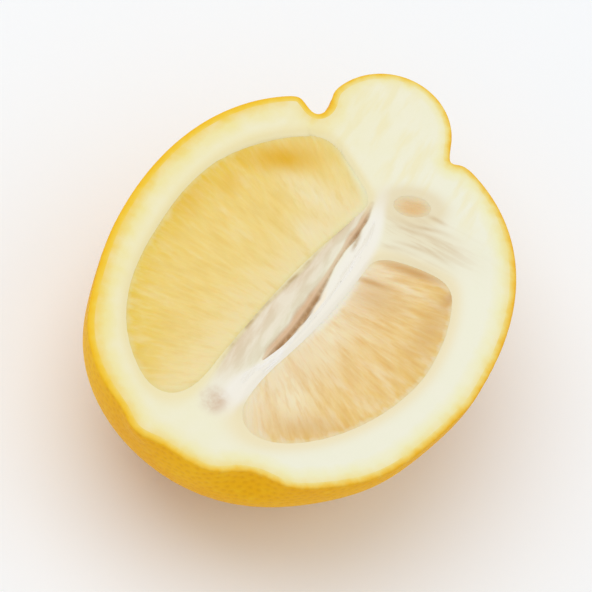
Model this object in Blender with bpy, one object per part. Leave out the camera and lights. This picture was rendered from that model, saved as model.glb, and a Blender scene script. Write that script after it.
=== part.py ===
"""Half lemon, cut lengthwise and lying on its rind with the cut face up.

The whole half is one solid, because a fruit grows as one piece. Metres, +Z up. The core runs along Y
and the nipple is at +Y. The origin is under the middle of the fruit, on the surface it lies on.
"""

import math
from typing import NamedTuple

import bmesh
import bpy
from mathutils import Matrix, Vector

# The rind, seen from above the cut face
HALF_WIDTH = 0.0319  # from the core to the skin, at the fattest level
BELLY_DEPTH = 0.0275  # from the cut face down to the lowest rind
TAIL_LENGTH = 0.0370  # from the fattest level to the stem end
NOSE_LENGTH = 0.0396  # from the fattest level to where the shoulders would close under the nipple
NIPPLE_REACH = 0.0481  # from the fattest level to the tip of the nipple
NOSE_FULLNESS = 2.33  # 2 is an ellipse, and more is squarer
TAIL_FULLNESS_LEFT = 2.42
TAIL_FULLNESS_RIGHT = 1.70
BELLY_LEAN = 0.07  # sideways slant of the belly, per unit of depth

# The nipple, a round knob that stands a little to the left of the core
NIPPLE_WIDTH = 0.0107  # half of it
NIPPLE_LENGTH = 0.0115  # half of it
NIPPLE_THICKNESS = 0.0098  # half of it
NIPPLE_OFFSET = -0.0028
NIPPLE_BLEND = 0.0040  # how softly the nipple runs into the shoulders
FURROW_DEPTH = 0.0026  # of the hollow ring round the nipple
FURROW_WIDTH = 0.0020

# Swellings and hollows of the rind at the cut's edge: bearing in degrees from +X, height, and reach
SWELLINGS = (
    (-107.0, 0.0012, 0.0030),
    (-76.0, -0.0030, 0.0044),
    (-41.0, 0.0015, 0.0097),
    (-155.0, -0.0009, 0.0098),
    (112.0, -0.0024, 0.0021),
)

# The flat that the fruit's own weight presses into its lowest rind
REST_FLAT_DEPTH = 0.0005


class Segment(NamedTuple):
    """The outline of one cut segment, between the pith, the core and its end near the nipple."""

    side: float  # -1 left of the core, 1 right of it
    pith: float  # thickness of rind and pith at the fattest level
    nose_gain: float  # what the pith has gained where the nose closes
    tail_gain: float  # and at the stem end
    wall: float  # where the inner wall stands at the fattest level
    slant: float  # how far the wall leans to the right, per unit of length
    bow: float  # how far the wall has curved to the right, one bow length from that level
    top: float  # from the fattest level to the segment's end, at the core
    top_slant: float  # slope of that end
    wall_softness: float  # how round the corners by the wall are
    top_softness: float  # how round the corners by the end are


LEFT_SEGMENT = Segment(
    side=-1.0,
    pith=0.0060,
    nose_gain=-0.0008,
    tail_gain=-0.0017,
    wall=-0.0040,
    slant=0.168,
    bow=0.0022,
    top=0.0253,
    top_slant=-0.65,
    wall_softness=0.0089,
    top_softness=0.0029,
)
RIGHT_SEGMENT = Segment(
    side=1.0,
    pith=0.0083,
    nose_gain=0.0055,
    tail_gain=-0.0018,
    wall=0.0045,
    slant=0.161,
    bow=-0.0039,
    top=0.0147,
    top_slant=0.16,
    wall_softness=0.0130,
    top_softness=0.0038,
)
BOW_LENGTH = 0.0300
PULP_SINK = 0.0005  # how far the cut pulp lies below the white pith

# The tip of a third segment, which the knife only grazed
GRAZED_OFFSET = 0.0072  # to the right of the core
GRAZED_LEVEL = 0.0262  # from the fattest level
GRAZED_LENGTH = 0.0042  # half of it
GRAZED_WIDTH = 0.0028  # half of it
GRAZED_TURN = 25.0  # degrees

# The dry slit down the middle of the core
SLIT_LENGTH = 0.0176  # half of it
SLIT_WIDTH = 0.0009  # half of it
SLIT_DEPTH = 0.0020
SLIT_OFFSET = 0.0010  # to the right of the core
SLIT_LEVEL = 0.0052  # from the fattest level to its middle
SLIT_TURN = -2.5  # degrees

# How finely the round forms are divided, and how far along the fruit the lines that draw them spread
SPHERE_MERIDIANS = 88
SPHERE_RINGS = 60
POCKET_SIDES = 72
SEARCH_STEPS = 36
SKIN_SPREAD = 0.0200
POCKET_SPREAD = 0.0140

CUT_HEIGHT = BELLY_DEPTH - REST_FLAT_DEPTH
FAT_LEVEL = (TAIL_LENGTH - NIPPLE_REACH) / 2.0
MIDDLE = Vector((0.0, FAT_LEVEL, CUT_HEIGHT))
NIPPLE_CENTRE = Vector((NIPPLE_OFFSET, FAT_LEVEL + NIPPLE_REACH - NIPPLE_LENGTH, CUT_HEIGHT))


def soft_join(first, second, softness):
    """The smaller of two fields, rounded off where they are nearly equal."""
    overlap = max(softness - abs(first - second), 0.0) / softness
    return min(first, second) - overlap * overlap * softness / 4.0


def soft_limit(first, second, softness):
    """The larger of two fields, rounded off where they are nearly equal."""
    return -soft_join(-first, -second, softness)


def body_field(point):
    """The fruit without its nipple: below zero inside, and near the skin about the distance from it."""
    depth = CUT_HEIGHT - point.z
    across = math.hypot((point.x + BELLY_LEAN * depth) / HALF_WIDTH, depth / BELLY_DEPTH)
    along = point.y - FAT_LEVEL
    if along > 0.0:
        length, fullness = NOSE_LENGTH, NOSE_FULLNESS
    else:
        sideways = max(-1.0, min(1.0, point.x / HALF_WIDTH))
        mean_fullness = (TAIL_FULLNESS_LEFT + TAIL_FULLNESS_RIGHT) / 2.0
        length = TAIL_LENGTH
        fullness = mean_fullness + sideways * (TAIL_FULLNESS_RIGHT - TAIL_FULLNESS_LEFT) / 2.0
    return HALF_WIDTH * ((across**fullness + (abs(along) / length) ** fullness) ** (1.0 / fullness) - 1.0)


def nipple_field(point):
    """The knob of the nipple, in the same measure."""
    offset = point - NIPPLE_CENTRE
    radii = (NIPPLE_WIDTH, NIPPLE_LENGTH, NIPPLE_THICKNESS)
    return NIPPLE_WIDTH * (math.hypot(*(offset[i] / radii[i] for i in range(3))) - 1.0)


def smooth_skin_field(point):
    """Body and nipple run together, with the furrow that rings the nipple."""
    nipple = nipple_field(point)
    furrow = FURROW_DEPTH * math.exp(-((nipple / FURROW_WIDTH) ** 2))
    return soft_join(body_field(point) + furrow, nipple, NIPPLE_BLEND)


LONGEST_LINE = NIPPLE_REACH + HALF_WIDTH


def edge_of(field, start, direction):
    """The point on a line from start, inside a form, where the form's field rises past zero."""
    near, far = 0.0, LONGEST_LINE
    for _ in range(SEARCH_STEPS):
        halfway = (near + far) / 2.0
        if field(start + direction * halfway) < 0.0:
            near = halfway
        else:
            far = halfway
    return start + direction * near


def spread_edge_of(field, middle, direction, spread):
    """The same, for lines that start spread out along Y, so that a long form's ends get their share."""
    return edge_of(field, middle + Vector((0.0, spread * direction.y, 0.0)), direction)


def swelling_place(bearing):
    """The point of the cut's edge at a bearing round the middle, in degrees."""
    angle = math.radians(bearing)
    return edge_of(smooth_skin_field, MIDDLE, Vector((math.cos(angle), math.sin(angle), 0.0)))


SWELLING_PLACES = [(swelling_place(bearing), height, spread) for bearing, height, spread in SWELLINGS]


def skin_field(point):
    """The finished rind, with its swellings and hollows."""
    field = smooth_skin_field(point)
    for centre, height, spread in SWELLING_PLACES:
        field -= height * math.exp(-(((point - centre).length / spread) ** 2))
    return field


def inner_wall(level, segment):
    """Where a segment's inner wall stands, at a level along the fruit."""
    return segment.wall + segment.slant * level + segment.bow * (level / BOW_LENGTH) ** 2


def segment_field(point, segment):
    """A segment's outline: below zero inside it."""
    level = point.y - FAT_LEVEL
    if level > 0.0:
        gain = segment.nose_gain * (level / NOSE_LENGTH) ** 2
    else:
        gain = segment.tail_gain * (level / TAIL_LENGTH) ** 2
    pith = body_field(point) + segment.pith + gain
    wall = segment.side * (inner_wall(level, segment) - point.x)
    end = level - segment.top - segment.top_slant * point.x
    sides = soft_limit(pith, wall, segment.wall_softness)
    return soft_limit(sides, end, segment.top_softness)


def make_material(name, color, roughness):
    material = bpy.data.materials.new(name)
    material.use_nodes = True
    shader = material.node_tree.nodes["Principled BSDF"]
    shader.inputs["Base Color"].default_value = (*color, 1.0)
    shader.inputs["Roughness"].default_value = roughness
    shader.inputs["Metallic"].default_value = 0.0
    material.diffuse_color = (*color, 1.0)
    return material


RIND, PITH, PULP = range(3)


def add_object(name, bm, collection, materials):
    mesh = bpy.data.meshes.new(name)
    bm.to_mesh(mesh)
    bm.free()
    for material in materials:
        mesh.materials.append(material)
    obj = bpy.data.objects.new(name, mesh)
    collection.objects.link(obj)
    return obj


def slice_off(bm, height, side, material_index):
    """Cut the solid level at a height, drop what lies on one side of it, and close the cut."""
    everything = bm.verts[:] + bm.edges[:] + bm.faces[:]
    cut = bmesh.ops.bisect_plane(
        bm,
        geom=everything,
        dist=1e-7,
        plane_co=(0.0, 0.0, height),
        plane_no=(0.0, 0.0, side),
        clear_outer=True,
    )
    rim = [item for item in cut["geom_cut"] if isinstance(item, bmesh.types.BMEdge)]
    for face in bmesh.ops.contextual_create(bm, geom=rim)["faces"]:
        face.material_index = material_index


def make_half_lemon(collection, materials):
    """A sphere drawn out to the skin along every direction, then cut at the core and at the rest."""
    bm = bmesh.new()
    bmesh.ops.create_uvsphere(bm, u_segments=SPHERE_MERIDIANS, v_segments=SPHERE_RINGS, radius=1.0)
    bmesh.ops.rotate(bm, verts=bm.verts, matrix=Matrix.Rotation(math.radians(90.0), 3, "X"))
    for vert in bm.verts:
        vert.co = spread_edge_of(skin_field, MIDDLE, vert.co.normalized(), SKIN_SPREAD)
    slice_off(bm, CUT_HEIGHT, 1.0, PITH)
    slice_off(bm, 0.0, -1.0, RIND)
    bmesh.ops.recalc_face_normals(bm, faces=bm.faces)
    return add_object("lemon_half", bm, collection, materials)


def make_pocket(name, segment, collection, materials):
    """A cylinder whose wall is drawn out to the edge of a segment."""
    skin_side = segment.side * (HALF_WIDTH - segment.pith)
    centre = Vector(((segment.wall + skin_side) / 2.0, FAT_LEVEL, CUT_HEIGHT))
    bm = bmesh.new()
    bmesh.ops.create_cone(
        bm,
        cap_ends=True,
        segments=POCKET_SIDES,
        radius1=1.0,
        radius2=1.0,
        depth=2.0 * PULP_SINK,
    )
    for vert in bm.verts:
        direction = Vector((vert.co.x, vert.co.y, 0.0)).normalized()
        outline = spread_edge_of(lambda p: segment_field(p, segment), centre, direction, POCKET_SPREAD)
        vert.co = Vector((outline.x, outline.y, CUT_HEIGHT + vert.co.z))
    for face in bm.faces:
        face.material_index = PULP
    return add_object(name, bm, collection, materials)


def make_grazed_pocket(collection, materials):
    """A short oval cylinder for the grazed tip of the third segment."""
    bm = bmesh.new()
    bmesh.ops.create_cone(
        bm,
        cap_ends=True,
        segments=POCKET_SIDES // 2,
        radius1=1.0,
        radius2=1.0,
        depth=2.0 * PULP_SINK,
    )
    bmesh.ops.scale(bm, vec=(GRAZED_LENGTH, GRAZED_WIDTH, 1.0), verts=bm.verts)
    bmesh.ops.rotate(bm, verts=bm.verts, matrix=Matrix.Rotation(math.radians(GRAZED_TURN), 3, "Z"))
    bmesh.ops.translate(bm, vec=(GRAZED_OFFSET, FAT_LEVEL + GRAZED_LEVEL, CUT_HEIGHT), verts=bm.verts)
    for face in bm.faces:
        face.material_index = PULP
    return add_object("grazed_pocket", bm, collection, materials)


def make_slit(collection, materials):
    """A long thin ellipsoid, half above the cut, which leaves the dry slit of the core."""
    bm = bmesh.new()
    bmesh.ops.create_uvsphere(bm, u_segments=12, v_segments=24, radius=1.0)
    bmesh.ops.rotate(bm, verts=bm.verts, matrix=Matrix.Rotation(math.radians(90.0), 3, "X"))
    bmesh.ops.scale(bm, vec=(SLIT_WIDTH, SLIT_LENGTH, SLIT_DEPTH), verts=bm.verts)
    bmesh.ops.rotate(bm, verts=bm.verts, matrix=Matrix.Rotation(math.radians(SLIT_TURN), 3, "Z"))
    bmesh.ops.translate(bm, vec=(SLIT_OFFSET, FAT_LEVEL + SLIT_LEVEL, CUT_HEIGHT), verts=bm.verts)
    for face in bm.faces:
        face.material_index = PITH
    return add_object("core_slit", bm, collection, materials)


def cut_with(obj, cutter):
    cutter.hide_render = True
    cutter.display_type = "WIRE"
    boolean = obj.modifiers.new(cutter.name, "BOOLEAN")
    boolean.operation = "DIFFERENCE"
    boolean.solver = "EXACT"
    boolean.object = cutter


def main():
    for obj in list(bpy.data.objects):
        bpy.data.objects.remove(obj)
    parts = bpy.data.collections.new("half_lemon")
    cutters = bpy.data.collections.new("cutters")
    for collection in (parts, cutters):
        bpy.context.scene.collection.children.link(collection)

    materials = [
        make_material("rind", (0.78, 0.46, 0.02), 0.42),
        make_material("pith", (0.87, 0.83, 0.62), 0.65),
        make_material("pulp", (0.80, 0.62, 0.28), 0.30),
    ]
    lemon = make_half_lemon(parts, materials)
    lemon.data.shade_smooth()
    lemon.data.set_sharp_from_angle(angle=math.radians(40.0))

    cut_with(lemon, make_pocket("left_pocket", LEFT_SEGMENT, cutters, materials))
    cut_with(lemon, make_pocket("right_pocket", RIGHT_SEGMENT, cutters, materials))
    cut_with(lemon, make_grazed_pocket(cutters, materials))
    cut_with(lemon, make_slit(cutters, materials))


main()
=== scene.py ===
# %% [markdown]
# # Half a lemon, cut lengthwise
#
# This lesson makes the looks of half a lemon that lies on its rind with the cut face up. A plain model of
# its outer form already exists: it is loaded first, and everything here is fitted around it.
#
# What there is to make, from the outside in: the yellow **rind** with its oil pores, the white **pith**
# under it, the **pulp** in three cut segments with their juice sacs, and the **core** down the middle,
# a white strand beside a dry slit whose brown is painted shade. After that come the floor, the light and the
# camera.

import math

import bmesh
import bpy
import numpy as np
from mathutils import Matrix, Vector
from mathutils.kdtree import KDTree


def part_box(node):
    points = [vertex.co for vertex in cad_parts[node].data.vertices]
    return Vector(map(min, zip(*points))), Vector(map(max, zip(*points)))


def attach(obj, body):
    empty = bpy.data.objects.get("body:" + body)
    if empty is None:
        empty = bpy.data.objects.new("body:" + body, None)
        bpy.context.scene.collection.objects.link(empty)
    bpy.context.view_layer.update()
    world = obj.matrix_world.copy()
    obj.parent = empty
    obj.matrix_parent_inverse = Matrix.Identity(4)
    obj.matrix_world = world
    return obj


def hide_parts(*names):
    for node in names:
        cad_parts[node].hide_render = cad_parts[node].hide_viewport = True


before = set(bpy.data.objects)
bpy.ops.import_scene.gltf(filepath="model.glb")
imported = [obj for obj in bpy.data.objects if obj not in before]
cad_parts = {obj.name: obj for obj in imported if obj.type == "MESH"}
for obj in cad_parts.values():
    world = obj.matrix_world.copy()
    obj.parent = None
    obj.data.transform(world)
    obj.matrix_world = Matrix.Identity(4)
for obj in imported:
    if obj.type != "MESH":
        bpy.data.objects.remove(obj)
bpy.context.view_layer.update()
low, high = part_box("lemon_half")
print("plain model, in millimetres:", [round(1000 * side, 1) for side in high - low])

# %% [markdown]
# ## The sizes everything follows
#
# Blender measures in metres and a lemon is best described in millimetres, so sizes below are written as
# a number times `MM`. The big sizes are read from the plain model, so the rind, the pith and the outer
# edges of the segments follow it. The core's lines and the small marks are places in plain millimetres.
# The core runs along Y, the nipple is at +Y, and the knife went through level at `CUT`.

# %% Main sizes
MM = 0.001
CUT = high.z
HALF_WIDTH = (high.x - low.x) / 2
LENGTH = high.y - low.y
TAIL_LENGTH = 0.435 * LENGTH  # from the fattest level to the stem end
NOSE_LENGTH = 0.4655 * LENGTH  # and to where the shoulders would close under the nipple
NIPPLE_REACH = 0.565 * LENGTH  # and to the nipple's tip
FAT_LEVEL = low.y + TAIL_LENGTH
BELLY_DEPTH = CUT + 0.5 * MM  # the lowest half millimetre is pressed flat by the fruit's own weight
BELLY_LEAN = 0.07
print("fattest level at y =", round(FAT_LEVEL / MM, 2), "mm")

# %% [markdown]
# ## The lemon as a formula
#
# A lemon has no straight line or true circle, but its form follows a rule: an egg-shaped body, a round
# knob for the nipple, a furrow where the two meet, and a few swellings. Such a form can be written as a
# *field*: a function of a point that is below zero inside, zero on the skin and above zero outside.
# Two fields are run together with a soft minimum. The skin is then found by walking along a line until
# the field turns positive, and halving the step, which is exact and needs no sculpting.


# %% The skin as a field
def soft_join(first, second, softness):
    """The smaller of two fields, rounded off where they are nearly equal."""
    overlap = np.maximum(softness - np.abs(first - second), 0) / softness
    return np.minimum(first, second) - overlap * overlap * softness / 4


def soft_limit(first, second, softness):
    """The larger of two fields, rounded off in the same way."""
    return -soft_join(-first, -second, softness)


def body_field(x, y, z):
    depth = CUT - z
    across = np.hypot((x + BELLY_LEAN * depth) / HALF_WIDTH, depth / BELLY_DEPTH)
    along = y - FAT_LEVEL
    tail_fullness = 2.06 - 0.36 * np.clip(x / HALF_WIDTH, -1, 1)  # the stem end is blunter on the left
    fullness = np.where(along > 0, 2.33, tail_fullness)
    length = np.where(along > 0, NOSE_LENGTH, TAIL_LENGTH)
    rounded = (across**fullness + (np.abs(along) / length) ** fullness) ** (1 / fullness)
    return HALF_WIDTH * (rounded - 1)


NIPPLE_SIZE = (10.7 * MM, 11.5 * MM, 9.8 * MM)
NIPPLE_PLACE = (-2.8 * MM, FAT_LEVEL + NIPPLE_REACH - NIPPLE_SIZE[1], CUT)


def smooth_skin_field(x, y, z):
    offsets = [(value - place) / size for value, place, size in zip((x, y, z), NIPPLE_PLACE, NIPPLE_SIZE)]
    nipple = NIPPLE_SIZE[0] * (np.sqrt(sum(offset**2 for offset in offsets)) - 1)
    furrow = 2.6 * MM * np.exp(-((nipple / (2.0 * MM)) ** 2))
    return soft_join(body_field(x, y, z) + furrow, nipple, 4.0 * MM)


def edge_points(field, starts, directions):
    """Where lines from inside a form leave it."""
    near = np.zeros(len(starts))
    far = np.full(len(starts), LENGTH)
    for _ in range(30):
        middle = (near + far) / 2
        inside = field(*(starts + directions * middle[:, None]).T) < 0
        near = np.where(inside, middle, near)
        far = np.where(inside, far, middle)
    return starts + directions * near[:, None]


# %% Swellings and hollows
# bearing round the middle in degrees, height and reach
SWELLINGS = (
    (-107, 1.2 * MM, 3.0 * MM),
    (-76, -3.0 * MM, 4.4 * MM),
    (-41, 1.5 * MM, 9.7 * MM),
    (-155, -0.9 * MM, 9.8 * MM),
    (112, -2.4 * MM, 2.1 * MM),
)
middle = np.array([[0, FAT_LEVEL, CUT]])
swelling_places = []
for bearing, _, _ in SWELLINGS:
    turn = math.radians(bearing)
    direction = np.array([[math.cos(turn), math.sin(turn), 0.0]])
    swelling_places.append(edge_points(smooth_skin_field, middle, direction)[0])


def skin_field(x, y, z):
    field = smooth_skin_field(x, y, z)
    for place, (_, height, width) in zip(swelling_places, SWELLINGS):
        distance_squared = (x - place[0]) ** 2 + (y - place[1]) ** 2 + (z - place[2]) ** 2
        field = field - height * np.exp(-distance_squared / width**2)
    return field


print(len(swelling_places), "swellings and hollows on the skin")

# %% [markdown]
# ## From formula to mesh
#
# Each piece is a *grid*: columns go round the fruit, and rows go from its middle line outwards. All
# columns start on a short spine along the core, spread out so that the long ends get their share of
# them. The columns are mirrored left and right, so that two of them end at the same place on the spine
# and can be merged there. That leaves no seam and no hole.


# %% Columns round a spine
def mirrored_bearings(columns, field, centre, spread):
    """Bearings for a given number of columns, evenly spaced along the right-hand edge of a form."""
    fine = np.linspace(-math.pi / 2, math.pi / 2, 4001)
    edge = level_edge(fine, field, centre, spread)
    lengths = np.r_[0, np.cumsum(np.linalg.norm(np.diff(edge, axis=0), axis=1))]
    right = np.interp(np.linspace(0, lengths[-1], columns // 2 + 1), lengths, fine)
    return np.r_[right, math.pi - right[-2:0:-1]]


def spine_points(bearings, centre, spread):
    points = np.zeros((len(bearings), 3))
    points[:] = centre
    points[:, 1] += spread * np.round(np.sin(bearings), 9)
    return points


def level_edge(bearings, field, centre, spread):
    """The edge of a form at the height of its centre."""
    directions = np.stack([np.cos(bearings), np.sin(bearings), np.zeros_like(bearings)], axis=1)
    return edge_points(field, spine_points(bearings, centre, spread), directions)


def inward(loop):
    """The level direction into a closed loop that runs anticlockwise, at each of its points."""
    tangent = np.roll(loop, -1, axis=0) - np.roll(loop, 1, axis=0)
    normal = np.stack([-tangent[:, 1], tangent[:, 0], np.zeros(len(loop))], axis=1)
    return normal / np.linalg.norm(normal, axis=1)[:, None]


def add_object(name, data):
    """Puts a mesh, a curve, a light or a camera in the scene, as an object at the origin."""
    made = bpy.data.objects.new(name, data)
    bpy.context.scene.collection.objects.link(made)
    return made


def grid_piece(name, rows):
    """A closed mesh through rows of points that each go once round. The first and last row close up."""
    rows = np.array(rows)
    row_count, columns = rows.shape[:2]
    here = np.arange(columns)
    after = (here + 1) % columns
    faces = []
    for row in range(row_count - 1):
        a, b = row * columns, (row + 1) * columns
        faces.append(np.stack([a + here, a + after, b + after, b + here], axis=1))
    mesh = bpy.data.meshes.new(name)
    mesh.from_pydata(rows.reshape(-1, 3), [], np.concatenate(faces))
    return add_object(name, mesh)


def store(piece, name, values):
    """Keeps one number, or one vector, for each point of a piece."""
    values = np.asarray(values, dtype=np.float32)
    kind, field = ("FLOAT_VECTOR", "vector") if values.ndim == 2 else ("FLOAT", "value")
    attribute = piece.data.attributes.new(name, kind, "POINT")
    attribute.data.foreach_set(field, values.ravel())


def close_up(piece, sharp_degrees=50):
    """Merges the points that meet on the spine, turns all faces outwards and shades the piece smooth."""
    bm = bmesh.new()
    bm.from_mesh(piece.data)
    bmesh.ops.remove_doubles(bm, verts=bm.verts, dist=1e-7)
    bmesh.ops.recalc_face_normals(bm, faces=bm.faces)
    open_edges = sum(1 for edge in bm.edges if not edge.is_manifold)
    bm.to_mesh(piece.data)
    bm.free()
    piece.data.shade_smooth()
    piece.data.set_sharp_from_angle(angle=math.radians(sharp_degrees))
    print(piece.name, "-", len(piece.data.polygons), "faces,", open_edges, "open edges")


# %% [markdown]
# ## The rind
#
# On the fruit the rind is the yellow, oily outer skin, barely a millimetre thick. Where the knife went
# through it shows as a thin yellow line round the white. It could be a shell with a Solidify modifier,
# but then its cut edge would lean with the skin. Here one grid follows the belly up from the rest, turns
# over a tiny rounded cut edge, crosses the narrow level band and steps down to a hidden floor, so the
# cut stays dead level.

# %% Rind grid
COLUMNS = 600
SPREAD = 20 * MM
EDGE_ROUNDING = 0.3 * MM
BAND = 1.1 * MM
FLOOR_DROP = 1.7 * MM
SKIN_ROWS = 138
LOWEST_DIP, HIGHEST_DIP = 90, 1.2  # degrees below level, from straight down to just under the cut
EDGE_ROWS = 5
FLOOR_ROWS = 10
centre = (0, FAT_LEVEL, CUT)
bearings = mirrored_bearings(COLUMNS, skin_field, centre, SPREAD)
outline = level_edge(bearings, skin_field, centre, SPREAD)
inwards = inward(outline)
spine = spine_points(bearings, centre, SPREAD)

rind_rows = []
for dip in np.radians(np.linspace(LOWEST_DIP, HIGHEST_DIP, SKIN_ROWS)):
    directions = np.stack([np.cos(bearings) * math.cos(dip), np.sin(bearings) * math.cos(dip),
                           np.full(COLUMNS, -math.sin(dip))], axis=1)
    starts = np.array(centre) + np.outer(np.round(directions[:, 1], 9), (0, SPREAD, 0))
    row = edge_points(skin_field, starts, directions)
    row[:, 2] = np.maximum(row[:, 2], 0)
    rind_rows.append(row)
for turn in np.radians(np.linspace(0, 90, EDGE_ROWS)):
    inset = EDGE_ROUNDING * (1 - math.cos(turn))
    drop = EDGE_ROUNDING * (1 - math.sin(turn))
    rind_rows.append(outline + inwards * inset - np.array([0, 0, drop]))
for inset in np.linspace(EDGE_ROUNDING, BAND, EDGE_ROWS)[1:]:
    rind_rows.append(outline + inwards * inset)
band_edge = outline + inwards * BAND
for share in np.linspace(1, 0, FLOOR_ROWS):
    rind_rows.append(spine + (band_edge - spine) * share - np.array([0, 0, FLOOR_DROP]))
rind = grid_piece("rind", rind_rows)
store(rind, "cut_face", np.repeat(np.arange(len(rind_rows)) > SKIN_ROWS, COLUMNS))
cut_edge_length = np.linalg.norm(np.diff(outline, axis=0), axis=1).sum()
print("rind band", round(BAND / MM, 2), "mm wide, cut edge", round(cut_edge_length / MM), "mm round")

# %% [markdown]
# The depth under the skin decides the colours of the whole cut face, so it is measured once for any
# point there: the distance to the nearest point of the cut edge. A k-d tree finds that quickly.

# %% Depth under the skin
edge_tree = KDTree(COLUMNS)
for index, point in enumerate(outline):
    edge_tree.insert(point, index)
edge_tree.balance()


def depth_under_skin(points):
    level = np.array(points)
    level[:, 2] = CUT
    return np.array([edge_tree.find(point)[2] for point in level]) / MM


rind_depth = np.zeros(len(rind.data.vertices))
rind_depth[SKIN_ROWS * COLUMNS:] = depth_under_skin(np.concatenate(rind_rows[SKIN_ROWS:]))
store(rind, "under_skin", rind_depth)
close_up(rind)

# %% [markdown]
# ## The segments' outlines
#
# A segment of pulp is bounded by the pith on the outside, by a membrane towards the core, and by a
# slanting end under the nipple. Each bound is a field of its own, and the softened larger one of the
# three is the segment. The white pith gets pockets of that outline, and the pulp fills them.


# %% Segment fields
BOW_LENGTH = 30 * MM  # a wall has curved by its bow at this distance from the fattest level


def segment_field(x, y, segment):
    level = y - FAT_LEVEL
    gain = np.where(level > 0, segment["nose_gain"] * (level / NOSE_LENGTH) ** 2,
                    segment["tail_gain"] * (level / TAIL_LENGTH) ** 2)
    pith_side = body_field(x, y, CUT) + segment["pith"] + gain
    wall = segment["wall"] + segment["slant"] * level + segment["bow"] * (level / BOW_LENGTH) ** 2
    core_side = segment["side"] * (wall - x)
    end = level - segment["top"] - segment["top_slant"] * x
    sides = soft_limit(pith_side, core_side, segment["wall_softness"])
    return soft_limit(sides, end, segment["top_softness"])


LEFT = dict(side=-1, pith=6.0 * MM, nose_gain=-0.8 * MM, tail_gain=-1.7 * MM, wall=-3.6 * MM, slant=0.168,
            bow=2.2 * MM, top=25.3 * MM, top_slant=-0.65, wall_softness=8.9 * MM, top_softness=2.9 * MM)
RIGHT = dict(side=1, pith=8.3 * MM, nose_gain=5.5 * MM, tail_gain=-1.8 * MM, wall=4.5 * MM, slant=0.161,
             bow=-3.9 * MM, top=14.7 * MM, top_slant=0.16, wall_softness=13.0 * MM, top_softness=3.8 * MM)
GRAZED_PLACE = (7.2 * MM, FAT_LEVEL + 26.2 * MM)
GRAZED_SIZE = (4.2 * MM, 2.8 * MM)
GRAZED_TURN = math.radians(25)


def grazed_field(x, y):
    """The oval tip of a third segment, which the knife only grazed."""
    dx, dy = x - GRAZED_PLACE[0], y - GRAZED_PLACE[1]
    along = dx * math.cos(GRAZED_TURN) + dy * math.sin(GRAZED_TURN)
    across = dy * math.cos(GRAZED_TURN) - dx * math.sin(GRAZED_TURN)
    return GRAZED_SIZE[1] * (np.hypot(along / GRAZED_SIZE[0], across / GRAZED_SIZE[1]) - 1)


# %% [markdown]
# ## The lines of the core
#
# Down the middle of the fruit run a white strand, a dry slit beside it, and the edge of the membrane
# that lines the left segment. They are soft curves of the length of the fruit, so each is given by a
# few places, from the nipple down to the stem end, that a smooth curve joins.


# %% Curves through a few places
def smooth_curve(places, count=300):
    """Points along a curve through places given in millimetres (Catmull-Rom, the same as a soft wire)."""
    places = np.array(places, dtype=float) * MM
    knots = np.vstack([2 * places[0] - places[1], places, 2 * places[-1] - places[-2]])
    curve = []
    for share in np.linspace(0, len(places) - 1 - 1e-9, count):
        index, t = int(share), share - int(share)
        p0, p1, p2, p3 = knots[index:index + 4]
        curve.append(0.5 * (2 * p1 + (p2 - p0) * t + (2 * p0 - 5 * p1 + 4 * p2 - p3) * t**2
                            + (3 * p1 - p0 - 3 * p2 + p3) * t**3))
    return np.array(curve)


def near_curve(points, curve):
    """How far each point is from a curve, and how far along the curve the nearest place is, from 0 to 1."""
    tree = KDTree(len(curve))
    for index, place in enumerate(curve):
        tree.insert((*place, 0), index)
    tree.balance()
    found = [tree.find((x, y, 0)) for x, y in points[:, :2]]
    return np.array([f[2] for f in found]), np.array([f[1] for f in found]) / (len(curve) - 1)


def faded(along, start, end):
    """1 along most of a line, fading out towards its two ends over the given shares of its length."""
    return np.clip(along / start, 0, 1) * np.clip((1 - along) / end, 0, 1)


STRAND_LINE = smooth_curve([(1.6, 24), (2.8, 18), (4.0, 12), (4.1, 5), (4.0, -2), (3.6, -8), (2.8, -14),
                            (1.6, -19), (-0.2, -24), (-1.2, -29)])
SLIT_LINE = smooth_curve([(1.5, 17.5), (1.8, 13.5), (1.6, 9), (1.5, 4), (1.6, -1), (1.5, -6), (1.2, -11),
                          (0.5, -15.5), (0.1, -18.5)])
MEMBRANE_LINE = smooth_curve([(1.2, 17.5), (0.2, 14), (-0.9, 9.5), (-1.8, 4), (-2.4, -0.5), (-3.3, -4.5),
                              (-4.2, -9), (-4.8, -13.5), (-5.3, -18), (-5.5, -23), (-5.2, -28)])
SECOND_LINE = smooth_curve([(2.1, 12.5), (2.6, 10), (2.9, 7)])
FOLD_LINES = [smooth_curve(places) for places in (
    [(4.8, 17.2), (9, 17.4), (13, 18.9), (17.5, 19.2)],
    [(5.5, 15.4), (9, 16.4), (14, 17.2), (19, 16.4)],
    [(6.5, 12.6), (10, 13.6), (14, 14.4), (20, 13.4)],
    [(9, 20.4), (12, 20.6), (14, 20.4)],
    [(6, 11.2), (9, 12.4), (13, 12.9)],
)]
print("core lines:", 4 + len(FOLD_LINES))

# %% [markdown]
# ## The pith
#
# Pith is the white, spongy layer under the rind. On a cut half it is one level face with the segments
# sunk into it. Because the knife leaves it level, it can be a plate whose upper side is moved up or down
# by a height worked out from the lines and outlines above: pockets for the pulp, the sunken membrane,
# the slit, and soft folds where the knife just missed the next segment. A few of those numbers are kept
# on the points, where the material can read them.


# %% Soft steps and patches
def smoothstep(value, start, end):
    share = np.clip((value - start) / (end - start), 0, 1)
    return share * share * (3 - 2 * share)


def bump(distance, width):
    return np.exp(-((distance / width) ** 2))


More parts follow.
